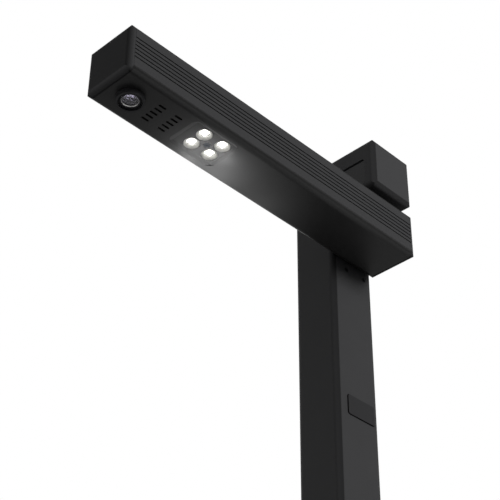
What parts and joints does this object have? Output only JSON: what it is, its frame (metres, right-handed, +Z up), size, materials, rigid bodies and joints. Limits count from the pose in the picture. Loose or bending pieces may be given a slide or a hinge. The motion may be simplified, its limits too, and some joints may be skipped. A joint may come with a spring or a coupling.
{
  "type": "document scanner",
  "caption": "Overhead document scanner: a camera arm with lens and lamps folds down beside a column that carries a fixed camera head and stands on a flat weighted base.",
  "frame": {"origin": "on the desk under the centre of the bounding box, between the rubber feet", "axes": "+Z up, the arm points along -Y from the column at the back, +X from the column towards the arm"},
  "size_m": [0.18, 0.279, 0.4262],
  "materials": {
    "arm_aluminium": "dark grey fine-texture coat",
    "arm_plastic": "fine texture",
    "column_aluminium": "dark grey fine-texture coat",
    "head_plastic": "fine texture",
    "base_plastic": "fine texture",
    "button_plastic": "satin",
    "window_plastic": "dark tint",
    "lens_plastic": "satin",
    "lens_glass": "coated",
    "sensor": "polished",
    "reflector_white": "satin",
    "lamp_chip": "lit",
    "heat_aluminium": "bare",
    "cast_aluminium": "die-cast",
    "plate_steel": "zinc plated",
    "bright_steel": "turned",
    "dark_steel": "black oxide",
    "brass": "bare",
    "bush_bronze": "bare",
    "washer_plastic": "slippery",
    "friction_lining": "lining",
    "foot_rubber": "matte",
    "wire_rubber": "matte",
    "board_green": "lacquered",
    "dark_plastic": "moulded"
  },
  "bodies": {
    "stand": {"column_tube": "column_aluminium", "head_housing": "head_plastic", "head_rear_cover": "head_plastic", "base_cover": "base_plastic", "head_window": "window_plastic", "portrait_lens": "lens_plastic", "column_foot": "cast_aluminium", "hinge_bracket": "cast_aluminium", "head_plug": "cast_aluminium", "base_plate": "plate_steel", "usb_socket": "bright_steel", "base_screws": "bright_steel", "column_foot_bolts": "bright_steel", "head_screws": "bright_steel", "portrait_board_screws": "bright_steel", "bracket_screws": "dark_steel", "head_plug_screws": "dark_steel", "rear_cover_screws": "dark_steel", "board_posts": "brass", "hinge_bushes": "bush_bronze", "side_washer": "washer_plastic", "friction_ring": "friction_lining", "base_feet": "foot_rubber", "column_harness": "wire_rubber", "io_board": "board_green", "switch_board": "board_green", "portrait_board": "board_green", "switch_case": "dark_plastic", "switch_bracket": "dark_plastic"},
    "arm": {"hinge_shaft": "bright_steel", "friction_disc": "bright_steel", "spring_washers": "bright_steel", "hinge_nut": "bright_steel", "arm_channel": "arm_aluminium", "arm_underside_cover": "arm_plastic", "arm_front_cap": "arm_plastic", "arm_rear_cap": "arm_plastic", "lens_collar": "lens_plastic", "lens_barrel": "lens_plastic", "lens_glass": "lens_glass", "lens_holder": "lens_plastic", "camera_board": "board_green", "camera_board_screws": "bright_steel", "image_sensor": "sensor", "voice_module": "dark_plastic", "lamp_reflector": "reflector_white", "lamp_board": "heat_aluminium", "lamp_chips": "lamp_chip", "lamp_heat_spreader": "heat_aluminium", "lamp_screw": "dark_steel", "arm_main_board": "board_green", "main_board_chips": "dark_plastic", "hinge_hub": "cast_aluminium", "hub_screws": "bright_steel", "arm_harness": "wire_rubber"},
    "button": {"side_button": "button_plastic", "switch_plunger": "washer_plastic"}
  },
  "joints": [
    {"name": "arm_fold", "type": "hinge", "parent": "stand", "child": "arm", "pos_m": [0, 0.113, 0.3585], "axis": [1, 0, 0], "range_deg": [0, 90]},
    {"name": "button_press", "type": "slide", "parent": "stand", "child": "button", "axis": [-1, 0, 0], "range_m": [0, 0.0008], "stiffness_N_per_m": 1000, "springref_m": -0.0003}
  ]
}
